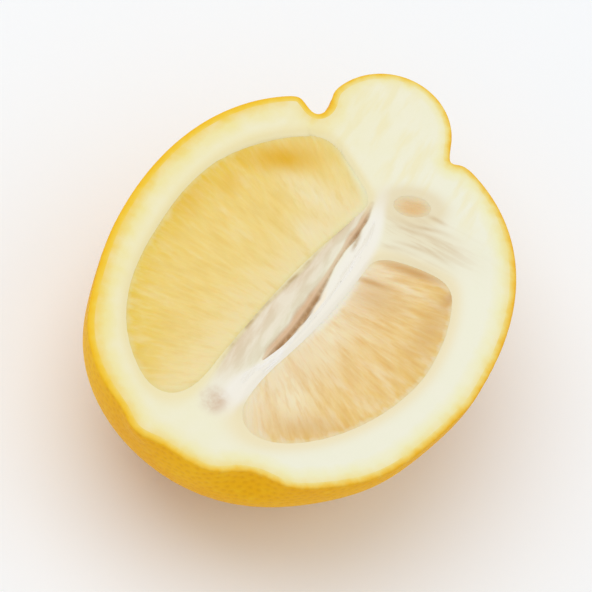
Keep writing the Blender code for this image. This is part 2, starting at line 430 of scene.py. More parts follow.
def patch(x, y, place, size, turn_degrees=0):
    """A soft oval patch: 1 in its middle, fading out at about its half length and half width."""
    turn = math.radians(turn_degrees)
    dx, dy = x - place[0] * MM, y - place[1] * MM
    along = (dx * math.cos(turn) + dy * math.sin(turn)) / (size[0] * MM)
    across = (dy * math.cos(turn) - dx * math.sin(turn)) / (size[1] * MM)
    return np.exp(-(along**2) - across**2)


def stretch_of(y, start, full, fading, end):
    """1 along a stretch of the fruit's length, in millimetres, softened at both of its ends."""
    return smoothstep(y, start * MM, full * MM) * smoothstep(-y, -end * MM, -fading * MM)


# %% Steps round the segments
# for the left, the right and the grazed segment
POCKET_SLOPE_ENDS = (1.2 * MM, 1.2 * MM, 2.4 * MM)
BORDER_REACHES = (0.9 * MM, 1.3 * MM, 1.3 * MM)


def segment_parts(x, y):
    """Where the face steps down to the segments, and how near their borders are."""
    fields = [segment_field(x, y, LEFT), segment_field(x, y, RIGHT), grazed_field(x, y)]
    shelves = [smoothstep(-field, -0.35 * MM, 0.6 * MM) for field in fields[:2]]
    floors = [smoothstep(-field, 0.5 * MM, end) for field, end in zip(fields, POCKET_SLOPE_ENDS)]
    parts = {"shelf": np.max(shelves, axis=0), "pocket": np.max(floors, axis=0)}
    for name, field, reach in zip(("by_left", "by_right", "by_grazed"), fields, BORDER_REACHES):
        parts[name] = bump(np.maximum(field, 0), reach)
    return parts


# %% The slit, the strip and the strand
def at_level(y, line):
    """How far to the side a line of the core stands at each level."""
    return np.interp(y, line[::-1, 1], line[::-1, 0])


def slit_parts(points):
    """The slit, which gapes in two stretches, its deeper side, where shade is painted, and its pale lip."""
    x, y = points[:, 0], points[:, 1]
    distance, along = near_curve(points, SLIT_LINE)
    width = MM * np.interp(along, [0, 0.12, 0.2, 0.3, 0.45, 0.56, 0.8, 1],
                           [0.3, 0.6, 0.66, 0.36, 0.4, 0.98, 0.95, 0.45])
    width = width * (1 + 0.12 * np.sin(y / (1.3 * MM) + 1) + 0.08 * np.sin(y / (0.7 * MM)))
    strength = np.interp(along, [0, 0.1, 0.2, 0.3, 0.45, 0.56, 0.85, 1],
                         [0.2, 0.9, 0.95, 0.65, 0.7, 1, 1, 0.6])
    slit_x = at_level(y, SLIT_LINE)
    lip_x = slit_x + 1.35 * width + 0.15 * MM
    # The slit's deep side is sunk further and, in the pith's material, painted darker as shade.
    return {"slit": smoothstep(width * 1.35 - distance, 0, 0.8 * width) * strength,
            "slit_shaded_side": smoothstep(x - slit_x, -0.3 * MM, 0.6 * MM),
            "slit_lip": bump(x - lip_x, 0.3 * MM) * stretch_of(y, -17, -13, -3, 0)}


def core_parts(x, y):
    """The sunken strip between the membrane and the slit, the white strand, and the stem end."""
    strand_x, slit_x, membrane_x = [at_level(y, line) for line in (STRAND_LINE, SLIT_LINE, MEMBRANE_LINE)]
    in_strip = smoothstep(x, membrane_x, membrane_x + 0.5 * MM) * smoothstep(slit_x - x, 0, 0.8 * MM)
    strand_half = MM * np.interp(y / MM, [-31, -24, -14, -4, 4, 10, 18, 24],
                                 [1.6, 2.0, 1.2, 1.6, 2.1, 1.8, 0.9, 0.8])
    on_strand = smoothstep(strand_half - np.abs(x - strand_x), -0.8 * MM, 0.7 * MM)
    stem_distance = np.hypot(x + 3.2 * MM, (y + 30 * MM) / 1.2)
    stem_end_distance = np.hypot((x + 2.4 * MM) / 1.2, (y + 27 * MM) / 1.7)
    return {"strip": in_strip * stretch_of(y, -29, -20, 15, 18),
            "strip_side": smoothstep(x, membrane_x, slit_x),
            "strand": on_strand * stretch_of(y, -33, -27, 14, 24),
            "stem": smoothstep(-stem_distance, -3.2 * MM, -0.6 * MM),
            "stem_end": smoothstep(-stem_end_distance, -4.6 * MM, -1.0 * MM)}


# %% Thin lines and folds
def line_parts(points):
    """The brown lines of dried membrane, and the folds beside the grazed tip."""
    x, y = points[:, 0], points[:, 1]
    distance, _ = near_curve(points, MEMBRANE_LINE)
    dried = np.interp(y / MM, [-26, -21, -19, -16, -14, -12, -6, -4, -2, 0, 2, 5, 7, 9, 12, 14, 17],
                      [0.1, 0.4, 0.9, 0.6, 1, 0.7, 0.6, 1, 1, 0.5, 0.7, 0.3, 0.5, 1, 1, 0.4, 0.1])
    second_distance, along = near_curve(points, SECOND_LINE)
    second = 0.8 * bump(second_distance, 0.35 * MM) * faded(along, 0.3, 0.3)
    fold = np.zeros(len(points))
    for line in FOLD_LINES:
        fold_distance, along = near_curve(points, line)
        fold = np.maximum(fold, bump(fold_distance, 0.42 * MM) * faded(along, 0.35, 0.4))
    return {"brown": np.maximum(bump(distance, 0.36 * MM) * dried, second), "fold": fold,
            "fold_zone": patch(x, y, (11.5, 15.8), (7.5, 3.8), 6)}


# %% Heights of the cut face
def cut_face_parts(points):
    """Everything the cut face's height and colours are made from, for each point."""
    x, y = points[:, 0], points[:, 1]
    parts = {**segment_parts(x, y), **slit_parts(points), **core_parts(x, y), **line_parts(points)}
    parts["fold_zone"] *= 1 - parts["strand"]
    return parts


def cut_face_height(parts):
    height = -0.3 * MM * parts["shelf"] - 0.85 * MM * parts["pocket"]
    height -= 0.9 * MM * parts["slit"] * (0.4 + 0.6 * parts["slit_shaded_side"])
    height -= 0.3 * MM * parts["strip"] * (0.5 + 0.5 * parts["strip_side"])
    height += 0.06 * MM * parts["strand"] * (1 - parts["slit"])
    height -= 0.04 * MM * parts["fold"] + 0.1 * MM * parts["brown"] + 0.1 * MM * parts["stem"]
    return np.maximum(height, -1.35 * MM)


# %% Pith plate
DEEPEST = 9.0  # millimetres under the skin, for the plate's hidden side
PITH_ROWS = 124
UNDER_ROWS = 9
PLATE_DEPTH = 1.6 * MM
pith_rows = [spine + (band_edge - spine) * share**1.35 for share in np.linspace(0, 1, PITH_ROWS)]
top_points = np.concatenate(pith_rows)
pith_parts = cut_face_parts(top_points)
top_points[:, 2] += cut_face_height(pith_parts)
pith_rows = list(top_points.reshape(PITH_ROWS, COLUMNS, 3))
for share in np.linspace(1, 0, UNDER_ROWS):
    pith_rows.append(spine + (band_edge - spine) * share - np.array([0, 0, PLATE_DEPTH]))
pith = grid_piece("pith", pith_rows)
hidden = np.zeros(UNDER_ROWS * COLUMNS)
store(pith, "under_skin", np.r_[depth_under_skin(top_points), hidden + DEEPEST])
for part, values in pith_parts.items():
    if part not in ("shelf", "pocket"):
        store(pith, part, np.r_[values, hidden])
close_up(pith)

# %% [markdown]
# ## The pulp
#
# Pulp is hundreds of juice sacs: long, thin skins full of juice that point from the rind to the core.
# Cut across, they show as a fan of soft streaks. Modelling each sac and cutting it is heavy. A better
# way is to give each point of the pulp two coordinates, along the fan and across it, and to let a cell
# pattern stretched in those coordinates raise and crease the surface.


# %% Pulp pads
PULP_SINK = 0.25 * MM
RIM_DROP = 0.15 * MM
PAD_DEPTH = 1.12 * MM
PAD_FLOOR_ROWS = 5
DRIED_SINK = 0.45 * MM


def sunk(x, y):
    """Where the left segment's pulp has dried and sunk a little, under the rind's side of its top."""
    return DRIED_SINK * patch(x, y, (-14, 18.5), (9, 4), 22)


def pulp_pad(name, field, middle, spread, columns, row_count, sink=PULP_SINK):
    """A closed pad of pulp with a rounded rim, inside the outline that a field gives."""
    centre = (*middle, CUT)
    bearings = mirrored_bearings(columns, field, centre, spread)
    edge = level_edge(bearings, field, centre, spread)
    spine = spine_points(bearings, centre, spread)
    rows = [spine + (edge - spine) * share for share in np.linspace(0, 1, row_count)]
    points = np.concatenate(rows)
    inside = -field(points[:, 0], points[:, 1], points[:, 2])
    rim = 1 - smoothstep(inside, -0.05 * MM, 0.3 * MM)
    points[:, 2] -= sink + RIM_DROP * rim**2 + sunk(points[:, 0], points[:, 1])
    rows = list(points.reshape(row_count, columns, 3))
    for share in np.linspace(1, 0, PAD_FLOOR_ROWS + 1)[1:]:
        rows.append(spine + (edge - spine) * share - np.array([0, 0, PAD_DEPTH]))
    pad = grid_piece(name, rows)
    return pad, np.concatenate(rows), inside


# %% The fan and the border
BORDER_REACH = 2.2 * MM


def fan_coordinates(points, fan_centre, middle_distance):
    """Along and across the fan of juice sacs, in metres, as a vector for each point."""
    dx, dy = points[:, 0] - fan_centre[0], points[:, 1] - fan_centre[1]
    across = np.arctan2(dy, np.abs(dx)) * middle_distance
    return np.stack([np.hypot(dx, dy), across, np.zeros(len(points))], axis=1)


def border_share(inside, points):
    """1 at a pad's border and on its underside, and 0 further in than its reach."""
    share = 1 - smoothstep(inside, 0, BORDER_REACH)
    return np.r_[share, np.ones(len(points) - len(share))]


# %% The three pads
def middle_of(segment):
    """The middle of a cut segment, at the fattest level."""
    return (segment["wall"] + segment["side"] * (HALF_WIDTH - segment["pith"])) / 2, FAT_LEVEL


CUT_PAD = dict(spread=14 * MM, columns=420, row_count=56)
GRAZED_PAD = dict(spread=0.5 * MM, columns=120, row_count=16, sink=0.04 * MM)
pads = {}
# each with its outline, its middle, its grid, the place its fan spreads from and how far off that is
for name, field, middle, grid, fan_centre, fan_distance in (
    ("left_segment", lambda x, y, z: segment_field(x, y, LEFT), middle_of(LEFT), CUT_PAD,
     (27 * MM, -9 * MM), 42 * MM),
    ("right_segment", lambda x, y, z: segment_field(x, y, RIGHT), middle_of(RIGHT), CUT_PAD,
     (-14 * MM, -2 * MM), 28 * MM),
    ("grazed_segment", lambda x, y, z: grazed_field(x, y), GRAZED_PLACE, GRAZED_PAD,
     (-4 * MM, 18 * MM), 12 * MM),
):
    pad, points, inside = pulp_pad(name, field, middle, **grid)
    store(pad, "fibre", fan_coordinates(points, fan_centre, fan_distance))
    store(pad, "border", border_share(inside, points))
    pads[name] = (pad, points)
print(len(pads), "pads of pulp")


# %% [markdown]
# Pulp is never one colour. It is yellower towards the rind, where the sacs are fullest, and paler near
# the core. Some patches are juicier and deeper in tone, others have dried pale, and at a few places the
# border fades into the pith. Each of these is a soft share kept on the points.


# %% Zones of the pulp
def store_zones(name, segment):
    """How near the points are to the rind's side and to the core."""
    pad, points = pads[name]
    x, y = points[:, 0], points[:, 1]
    to_pith = -(body_field(x, y, CUT) + segment["pith"])
    store(pad, "rind_side", bump(np.maximum(to_pith, 0), 5 * MM) * smoothstep(-y, -21 * MM, -13 * MM))
    wall = segment["wall"] + segment["slant"] * (y - FAT_LEVEL)
    store(pad, "core_side", bump(np.abs(x - wall), 6 * MM))


# place, half sizes and turn of each patch, in millimetres and degrees
PATCHES = {
    "left_segment": {
        "deep": [((-14.3, 17.9), (5.0, 2.4), 30)],
        "warm": [((-19.6, 8.3), (2.2, 2.6), 0), ((-17, 15.5), (7, 2.0), 32), ((-24, 2), (2.5, 7), -12)],
        "pale": [((-7, 13.8), (6, 3), -12), ((-4, 8), (3, 3), 0)],
        "faded": [((-3, 18.5), (4.5, 7), 0)],
    },
    "right_segment": {
        "warm": [((20, 2), (2.5, 8), 0), ((12, -26), (7, 2.5), 30), ((10, 2), (5, 3), 10)],
        "deep": [((12.7, 9.7), (6, 0.9), 11), ((8.2, 4.2), (2.8, 0.6), 12), ((20.2, 8.6), (1.0, 2.0), -10)],
        "pale": [((7.5, -23), (3.5, 6), 20), ((7, -8), (2.2, 8), 10), ((12.5, 6.5), (5.5, 0.5), -2)],
        "faded": [((6, -6), (2.5, 14), 8)],
    },
    "grazed_segment": {
        "deep": [((7.4, 20.3), (1.9, 1.3), 20)], "pale": [((5.5, 22.5), (2, 1.5), 0)],
        "faded": [((7, 21), (9, 9), 0)],
        "warm": [((8.0, 20.6), (2.6, 1.7), 20)],
    },
}
for name, segment in (("left_segment", LEFT), ("right_segment", RIGHT)):
    store_zones(name, segment)
for name, (pad, points) in pads.items():
    for kind, places in PATCHES[name].items():
        store(pad, kind, np.max([patch(points[:, 0], points[:, 1], *place) for place in places], axis=0))
for pad, _ in pads.values():
    close_up(pad, sharp_degrees=60)

# %% [markdown]
# ## Geometry Nodes for what repeats
#
# Oil pores and juice sacs repeat over a surface, and the core's fibres follow a path. Geometry Nodes are
# Blender's tool for both: a small machine of nodes that takes a piece in and gives a mesh out. The
# helpers below keep the scripts for those machines short. They add a node and wire or set its inputs,
# do sums, read and keep numbers on the points, and run a machine on a piece.


# %% Node helpers
def add_node(tree, kind, inputs=None, **settings):
    """Adds a node. An input is a number, a colour or another node's output."""
    node = tree.nodes.new(kind)
    for key, value in settings.items():
        setattr(node, key, value)
    for key, value in (inputs or {}).items():
        if isinstance(value, bpy.types.NodeSocket):
            tree.links.new(value, node.inputs[key])
        else:
            node.inputs[key].default_value = value
    return node


def calculate(tree, operation, *values, clamp=False):
    node = add_node(tree, "ShaderNodeMath", dict(enumerate(values)), operation=operation, use_clamp=clamp)
    return node.outputs[0]


def product(tree, first, *others):
    for other in others:
        first = calculate(tree, "MULTIPLY", first, other)
    return first


def rest_of(tree, share):
    """What a share leaves of 1."""
    return calculate(tree, "SUBTRACT", 1.0, share)


def remap(tree, value, low_value, high_value, to_low=0.0, to_high=1.0, shape="LINEAR"):
    """Lays one range over another, and holds what is outside at its ends."""
    return add_node(tree, "ShaderNodeMapRange", {
        "Value": value, "From Min": low_value, "From Max": high_value, "To Min": to_low, "To Max": to_high,
    }, interpolation_type=shape).outputs[0]


def vector(tree, **parts):
    return add_node(tree, "ShaderNodeCombineXYZ", parts).outputs[0]


def part_of(tree, whole, axis):
    return add_node(tree, "ShaderNodeSeparateXYZ", {0: whole}).outputs[axis]


# %% Machine helpers
def new_machine(name, sizes):
    """An empty machine with named inputs for its sizes and material, and its two ends."""
    tree = bpy.data.node_groups.new(name, "GeometryNodeTree")
    new_socket = tree.interface.new_socket
    new_socket("Geometry", in_out="INPUT", socket_type="NodeSocketGeometry")
    for label, value in sizes.items():
        kind = "NodeSocketInt" if isinstance(value, int) else "NodeSocketFloat"
        new_socket(label, in_out="INPUT", socket_type=kind).default_value = value
    new_socket("Material", in_out="INPUT", socket_type="NodeSocketMaterial")
    new_socket("Geometry", in_out="OUTPUT", socket_type="NodeSocketGeometry")
    return tree, tree.nodes.new("NodeGroupInput").outputs, tree.nodes.new("NodeGroupOutput").inputs


def read_number(tree, name, kind="FLOAT"):
    """A number, or a vector, that the mesh keeps on its points."""
    return add_node(tree, "GeometryNodeInputNamedAttribute", {"Name": name}, data_type=kind).outputs[0]


def keep_number(tree, geometry, name, value):
    return add_node(tree, "GeometryNodeStoreNamedAttribute", {
        "Geometry": geometry, "Name": name, "Value": value}, data_type="FLOAT", domain="POINT").outputs[0]


def shift(tree, geometry, offset):
    return add_node(tree, "GeometryNodeSetPosition", {"Geometry": geometry, "Offset": offset}).outputs[0]


def close_machine(tree, geometry, given, result):
    """Ends a machine: copies are made real, everything gets the material, and it is ready to run."""
    real = add_node(tree, "GeometryNodeRealizeInstances", {"Geometry": geometry}).outputs[0]
    painted = add_node(tree, "GeometryNodeSetMaterial", {"Geometry": real, "Material": given["Material"]})
    tree.links.new(painted.outputs[0], result["Geometry"])
    print(tree.name, "-", len(tree.nodes), "nodes")
    return tree


def run_machine(piece, tree, **values):
    """Runs a machine on a mesh or a curve, and gives the plain mesh that comes out."""
    modifier = piece.modifiers.new(tree.name, "NODES")
    modifier.node_group = tree
    for item in tree.interface.items_tree:
        if item.in_out == "INPUT" and item.name in values:
            modifier[item.identifier] = values[item.name]
    evaluated = piece.evaluated_get(bpy.context.evaluated_depsgraph_get())
    made = bpy.data.meshes.new_from_object(evaluated)
    piece.modifiers.remove(modifier)
    made.name = piece.name
    return made


# %% [markdown]
# ### Oil pores
#
# Each pore of a lemon's skin is a small dimple over an oil gland, about a millimetre from the next one.
# Points are scattered on the skin so that no two come too close (a Poisson-disk scatter), and every
# vertex then sinks by how near it is to its closest point. The nearness is kept as `pore`.

# %% Pore machine
PORES_TRIED = 6.0e6  # points per square metre, of which the spacing then drops most
tree, given, result = new_machine("oil_pores", {
    "Spacing": 1.2 * MM, "Width": 0.5 * MM, "Depth": 0.1 * MM, "Seed": 7})
on_skin = calculate(tree, "LESS_THAN", read_number(tree, "cut_face"), 0.5)
scatter = add_node(tree, "GeometryNodeDistributePointsOnFaces", {
    "Mesh": given["Geometry"],
    "Selection": on_skin,
    "Distance Min": given["Spacing"],
    "Density Max": PORES_TRIED,
    "Seed": given["Seed"],
}, distribute_method="POISSON")
nearest = add_node(tree, "GeometryNodeProximity", {0: scatter.outputs["Points"]}, target_element="POINTS")
reach_share = calculate(tree, "DIVIDE", nearest.outputs["Distance"], given["Width"])
closeness = calculate(tree, "SUBTRACT", 1.0, reach_share, clamp=True)
pore = product(tree, calculate(tree, "SMOOTH_MIN", closeness, 0.8, 0.3), on_skin)
sink = add_node(tree, "ShaderNodeVectorMath", {
    0: add_node(tree, "GeometryNodeInputNormal").outputs[0],
    "Scale": product(tree, pore, given["Depth"], -1.0),
}, operation="SCALE")
dimpled = shift(tree, given["Geometry"], sink.outputs[0])
pore_machine = close_machine(tree, keep_number(tree, dimpled, "pore", pore), given, result)

# %% [markdown]
# ### Juice sacs
#
# The sacs fill the pulp without gaps, as cells do, so a cell pattern (Voronoi) gives their outlines. It
# is read in the fan's coordinates, divided by a sac's length and width, which stretches the cells into
# long spindles that follow the fan. The distance to a cell's border makes the crease between two sacs,
# kept as `sac_dome`, and the cell's own random colour is kept as `sac_tint`, so that each sac can be a
# little different. Creases die out towards a pad's border, and only the top gets any.

# %% Juice sac machine
SAC_BEND = 1.6 * MM
tree, given, result = new_machine("juice_sacs", {
    "Sac Length": 6.0 * MM, "Sac Width": 1.0 * MM, "Crease Depth": 0.06 * MM})
fibre = read_number(tree, "fibre", "FLOAT_VECTOR")
wobble = add_node(tree, "ShaderNodeTexNoise", {"Scale": 90.0, "Detail": 1.0, "Vector": fibre}).outputs[0]
bent = calculate(tree, "MULTIPLY_ADD", wobble, SAC_BEND, part_of(tree, fibre, "Y"))
lengthwise = calculate(tree, "DIVIDE", part_of(tree, fibre, "X"), given["Sac Length"])
crosswise = calculate(tree, "DIVIDE", bent, given["Sac Width"])
cell_place = vector(tree, X=lengthwise, Y=crosswise)
cell_border, cell = [
    add_node(tree, "ShaderNodeTexVoronoi", {"Vector": cell_place, "Scale": 1.0},
             voronoi_dimensions="2D", feature=feature).outputs
    for feature in ("DISTANCE_TO_EDGE", "F1")]
dome = remap(tree, cell_border["Distance"], 0.0, 0.32, shape="SMOOTHSTEP")
up = part_of(tree, add_node(tree, "GeometryNodeInputNormal").outputs[0], "Z")
on_top = calculate(tree, "GREATER_THAN", up, 0.3)
inner = rest_of(tree, read_number(tree, "border"))
lowered = calculate(tree, "SUBTRACT", dome, 1.0)
height = product(tree, lowered, given["Crease Depth"], on_top, inner)
creased = shift(tree, given["Geometry"], vector(tree, Z=height))
tinted = keep_number(tree, creased, "sac_tint", cell["Color"])
sac_machine = close_machine(tree, keep_number(tree, tinted, "sac_dome", dome), given, result)

# %% [markdown]
# ### The core's fibres
#
# The white strand in the core is a bundle of fine fibres, the vessels that once fed the fruit. They all
# follow one path, so a machine that copies a curve suits them: it lays copies of the path side by side,
# lets each wander a little, and draws a thin tube along it. The path's own radius says how wide the
# bundle is at each place, and the bundle's middle stands higher than its sides.

# %% Fibre machine
NOISE_STEP = 7.3 * MM  # how far apart two fibres read the noise, so that each wanders its own way
ARCH = 0.12 * MM
tree, given, result = new_machine("core_fibres", {
    "Count": 18, "Thickness": 0.28 * MM, "Wander": 0.5 * MM})
copies = add_node(tree, "GeometryNodeDuplicateElements", {
    "Geometry": given["Geometry"], "Amount": given["Count"]}, domain="SPLINE").outputs
number = copies["Duplicate Index"]
last_number = calculate(tree, "SUBTRACT", given["Count"], 1.0)
place_across = calculate(tree, "DIVIDE", number, last_number)
centred = calculate(tree, "MULTIPLY_ADD", place_across, 2.0, -1.0)
half_width = add_node(tree, "GeometryNodeInputRadius").outputs[0]
position = add_node(tree, "GeometryNodeInputPosition").outputs[0]
own_step = vector(tree, Z=product(tree, number, NOISE_STEP))
spot = add_node(tree, "ShaderNodeVectorMath", {0: position, 1: own_step}, operation="ADD").outputs[0]
drift = add_node(tree, "ShaderNodeTexNoise", {"Vector": spot, "Scale": 130.0, "Detail": 1.0})
drift = add_node(tree, "ShaderNodeVectorMath", {
    0: drift.outputs["Color"], 1: (-0.5, -0.5, -0.5)}, operation="ADD").outputs[0]
sideways = calculate(tree, "MULTIPLY_ADD", part_of(tree, drift, "X"), given["Wander"],
                     product(tree, centred, half_width))
upwards = calculate(tree, "MULTIPLY_ADD", part_of(tree, drift, "Y"), ARCH,
                    product(tree, centred, centred, -ARCH))
laid = shift(tree, copies["Geometry"], vector(tree, X=sideways, Z=upwards))
along = add_node(tree, "GeometryNodeSplineParameter").outputs["Factor"]
nearest_end = calculate(tree, "MINIMUM", along, rest_of(tree, along))
from_end = calculate(tree, "MULTIPLY", nearest_end, 4.0, clamp=True)
taper = calculate(tree, "MULTIPLY_ADD", from_end, 0.8, 0.2)
thin = add_node(tree, "GeometryNodeSetCurveRadius", {"Curve": laid, "Radius": taper})
section = add_node(tree, "GeometryNodeCurvePrimitiveCircle", {
    "Resolution": 6, "Radius": calculate(tree, "DIVIDE", given["Thickness"], 2.0)})
tubes = add_node(tree, "GeometryNodeCurveToMesh", {
    "Curve": thin.outputs[0], "Profile Curve": section.outputs[0], "Fill Caps": True})
fibre_machine = close_machine(tree, tubes.outputs[0], given, result)

# %% [markdown]
# ## Materials
#
# Every material here is built from nodes and reads either the object's own coordinates or the numbers
# kept on the points. The colours are named by their usual screen values and turned into the linear light
# values that the shader works with.


# %% Colour helpers
def paint(red, green, blue):
    """A colour from its screen values, 0 to 255."""
    channels = [value / 255 for value in (red, green, blue)]
    return (*[c / 12.92 if c < 0.04045 else ((c + 0.055) / 1.055) ** 2.4 for c in channels], 1.0)


def blend(tree, share, under, over):
    """One colour over another, by a share. A colour is a node's output or three screen values."""
    inputs = {0: share}
    for socket, colour in ((6, under), (7, over)):  # the two colours of a Mix node
        inputs[socket] = paint(*colour) if isinstance(colour, tuple) else colour
    return add_node(tree, "ShaderNodeMix", inputs, data_type="RGBA").outputs[2]


def kept_number(tree, name):
    return add_node(tree, "ShaderNodeAttribute", attribute_name=name).outputs["Fac"]


def mark(tree, colour, name, strength, tone, pattern=1.0):
    """Lays a tone over a colour where a kept number says so, broken up by a pattern."""
    share = product(tree, kept_number(tree, name), pattern, strength)
    return blend(tree, share, colour, tone)


def colour_steps(tree, value, steps):
    node = add_node(tree, "ShaderNodeValToRGB", {0: value})
    while len(node.color_ramp.elements) < len(steps):
        node.color_ramp.elements.new(0.5)
    for element, (position, screen_values) in zip(node.color_ramp.elements, steps.items()):
        element.position = position
        element.color = paint(*screen_values)
    return node.outputs[0]


def own_place(tree):
    """The object's own coordinates, in metres."""
    return add_node(tree, "ShaderNodeTexCoord").outputs["Object"]


def noise(tree, scale, detail=3.0, stretch=(1, 1, 1), coordinates=None, roughness=0.5):
    """Cloudy noise from 0 to 1. Its scale is in clouds per millimetre."""
    if coordinates is None:
        coordinates = own_place(tree)
    mapping = add_node(tree, "ShaderNodeMapping", {"Vector": coordinates, "Scale": stretch})
    return add_node(tree, "ShaderNodeTexNoise", {
        "Vector": mapping.outputs[0], "Scale": scale / MM, "Detail": detail, "Roughness": roughness,
    }).outputs[0]


def bumpy(tree, height, distance, strength, **under):
    return add_node(tree, "ShaderNodeBump", {
        "Height": height, "Distance": distance, "Strength": strength, **under}).outputs[0]


def new_material(name):
    material = bpy.data.materials.new(name)
    material.use_nodes = True
    return material, material.node_tree


def finish_material(material, gloss, **outputs):
    """Wires the shader to what the nodes worked out, and gives it back. The gloss is even all over."""
    tree = material.node_tree
    shader = tree.nodes["Principled BSDF"]
    for name, output in outputs.items():
        tree.links.new(output, shader.inputs[name.replace("_", " ")])
    shader.inputs["Specular IOR Level"].default_value = gloss
    print(material.name, "-", len(tree.nodes), "nodes")
    return shader


# %% [markdown]
# ### The colours under the skin
#
# Seen on the cut, the rind fades from deep yellow through pale yellow into the cream of the pith. Rind
# and pith are two pieces but one gradient, so both materials use the same nodes, driven by the depth
# under the skin. A little noise on that depth keeps the line from looking drawn. The left side, where
# the skin was riper, stays yellow for longer, and round the nipple the yellow is thinner.


# %% Gradient of the cut rind
def cut_rind_colour(tree):
    uneven = remap(tree, noise(tree, 0.6, detail=4.0), 0.3, 0.7, -0.25, 0.25)
    depth = calculate(tree, "ADD", kept_number(tree, "under_skin"), uneven)
    thinner = remap(tree, part_of(tree, own_place(tree), "Y"), 27 * MM, 37 * MM, 1.0, 1.7)
    share = calculate(tree, "DIVIDE", product(tree, depth, thinner), 8.0)
    ripe = colour_steps(tree, share, {0.0: (243, 190, 28), 0.1: (244, 204, 64), 0.2: (241, 214, 112),
                                      0.34: (241, 228, 156), 0.62: (241, 234, 190)})
    pale = colour_steps(tree, share, {0.0: (238, 180, 36), 0.07: (240, 204, 92), 0.15: (240, 224, 146),
                                      0.29: (240, 236, 188), 0.52: (240, 239, 217)})
    leftness = remap(tree, part_of(tree, own_place(tree), "X"), 12 * MM, -24 * MM)
    return blend(tree, leftness, pale, ripe)


# %% [markdown]
# ### Rind finish
#
# Ripe lemon skin is a warm yellow, deeper in the pores, with pale freckles and a dull waxy gloss. Slow
# clouds of noise vary the yellow, and fine noise breaks up the roughness and gives the skin its grain.

# %% Rind material
rind_material, tree = new_material("lemon_rind")
clouds = noise(tree, 0.05)
freckles = remap(tree, noise(tree, 0.6, detail=2.0), 0.55, 0.8, 0.0, 0.35)
skin = blend(tree, remap(tree, clouds, 0.35, 0.65), (242, 174, 0), (248, 189, 0))
skin = mark(tree, skin, "pore", 0.45, (216, 136, 0))
skin = blend(tree, freckles, skin, (250, 208, 40))
grain = noise(tree, 3.0, detail=4.0)
waves = bumpy(tree, noise(tree, 0.45), 0.15 * MM, 0.5)
colour = mark(tree, skin, "cut_face", 1.0, cut_rind_colour(tree))
finish_material(rind_material, 0.12, Base_Color=colour, Roughness=remap(tree, grain, 0.3, 0.7, 0.45, 0.6),
                Normal=bumpy(tree, grain, 0.03 * MM, 0.6, Normal=waves))

# %% [markdown]
# ### Pith finish
#
# The pith is dry and felt-like: rough, without gloss, and its colour changes over a few millimetres from
# cream to near white. On top of that gradient come the marks, each by its own kept number: cream veins in
# the nipple, the tan edges of the segments, the crumpled folds, the greyish strip of membrane beside the
# white strand, the stem's spot, the brown of the thin lines, and last the painted shade in the slit, darkest
# on its deep side. Noise stretched along a mark gives it streaks, and noise times a mark breaks it up.

# %% Pith material
pith_material, tree = new_material("lemon_pith")
mottle = remap(tree, noise(tree, 0.25, detail=4.0), 0.35, 0.75, 0.0, 0.4)
veins = remap(tree, noise(tree, 0.35, stretch=(1.6, 0.3, 1)), 0.48, 0.66, 0.0, 0.6)
in_nipple = remap(tree, part_of(tree, own_place(tree), "Y"), 18 * MM, 26 * MM)
colour = blend(tree, mottle, cut_rind_colour(tree), (243, 240, 222))
colour = mark(tree, colour, "stem_end", 0.7, (240, 236, 222))
colour = blend(tree, product(tree, veins, in_nipple), colour, (240, 231, 184))
for name, strength, tone in (
    ("by_left", 0.5, (238, 220, 158)), ("by_right", 0.5, (238, 216, 160)),
    ("fold_zone", 0.6, (229, 214, 176)), ("by_grazed", 0.75, (230, 215, 177)),
):
    colour = mark(tree, colour, name, strength, tone)

streaks = noise(tree, 0.5, detail=4.0, stretch=(1.6, 0.35, 1))
strip_tone = blend(tree, kept_number(tree, "strip_side"), (224, 203, 174), (232, 228, 204))
strip_tone = blend(tree, remap(tree, streaks, 0.45, 0.65, 0.0, 0.7), strip_tone, (240, 231, 212))
strip_tone = blend(tree, remap(tree, streaks, 0.5, 0.35, 0.0, 0.4), strip_tone, (214, 194, 160))
colour = mark(tree, colour, "strip", 0.9, strip_tone)

uneven = remap(tree, noise(tree, 0.3, stretch=(0.4, 1.4, 1)), 0.35, 0.65, 0.2, 1.0)
crumples = remap(tree, noise(tree, 0.5, detail=4.0, stretch=(0.25, 1.6, 1)), 0.5, 0.65, 0.0, 0.5)
spotty = remap(tree, noise(tree, 0.5, detail=4.0), 0.35, 0.6, 0.2, 1.0)
broken = remap(tree, noise(tree, 0.5), 0.4, 0.6, 0.5, 1.0)
for name, strength, tone, pattern in (
    ("fold", 0.75, (206, 178, 136), uneven), ("fold_zone", 1.0, (212, 188, 150), crumples),
    ("strand", 0.85, (244, 240, 230), 1.0), ("stem", 0.85, (212, 184, 154), spotty),
    ("brown", 0.9, (188, 160, 116), broken), ("slit_lip", 0.7, (250, 234, 206), 1.0),
):
    colour = mark(tree, colour, name, strength, tone, pattern)

# The slit's brown is painted shade in the groove, darkest on its deep side, with spots over it.
slit_spots = remap(tree, noise(tree, 1.1, detail=4.0), 0.45, 0.65, 0.0, 0.7)
slit_shade_tone = blend(tree, kept_number(tree, "slit_shaded_side"), (220, 187, 152), (176, 138, 94))
slit_shade_tone = blend(tree, slit_spots, slit_shade_tone, (214, 182, 142))
colour = mark(tree, colour, "slit", 1.0, slit_shade_tone)
felt = noise(tree, 2.2, detail=5.0)
finish_material(pith_material, 0.25, Base_Color=colour, Roughness=remap(tree, felt, 0.3, 0.7, 0.6, 0.75),
                Normal=bumpy(tree, felt, 0.05 * MM, 0.4))


# %% [markdown]
# ### Pulp finish
#
# Pulp is wet and lets light in, so the shader scatters some light under the surface. The colour comes
# from the zones of the segment, from the tint of each sac, and from blotches and fine streaks along the
# fan. Towards the pad's border uneven teeth of pith reach in between the sacs. The three segments share
# one recipe, and a table gives each its own tones and says how streaky it is.


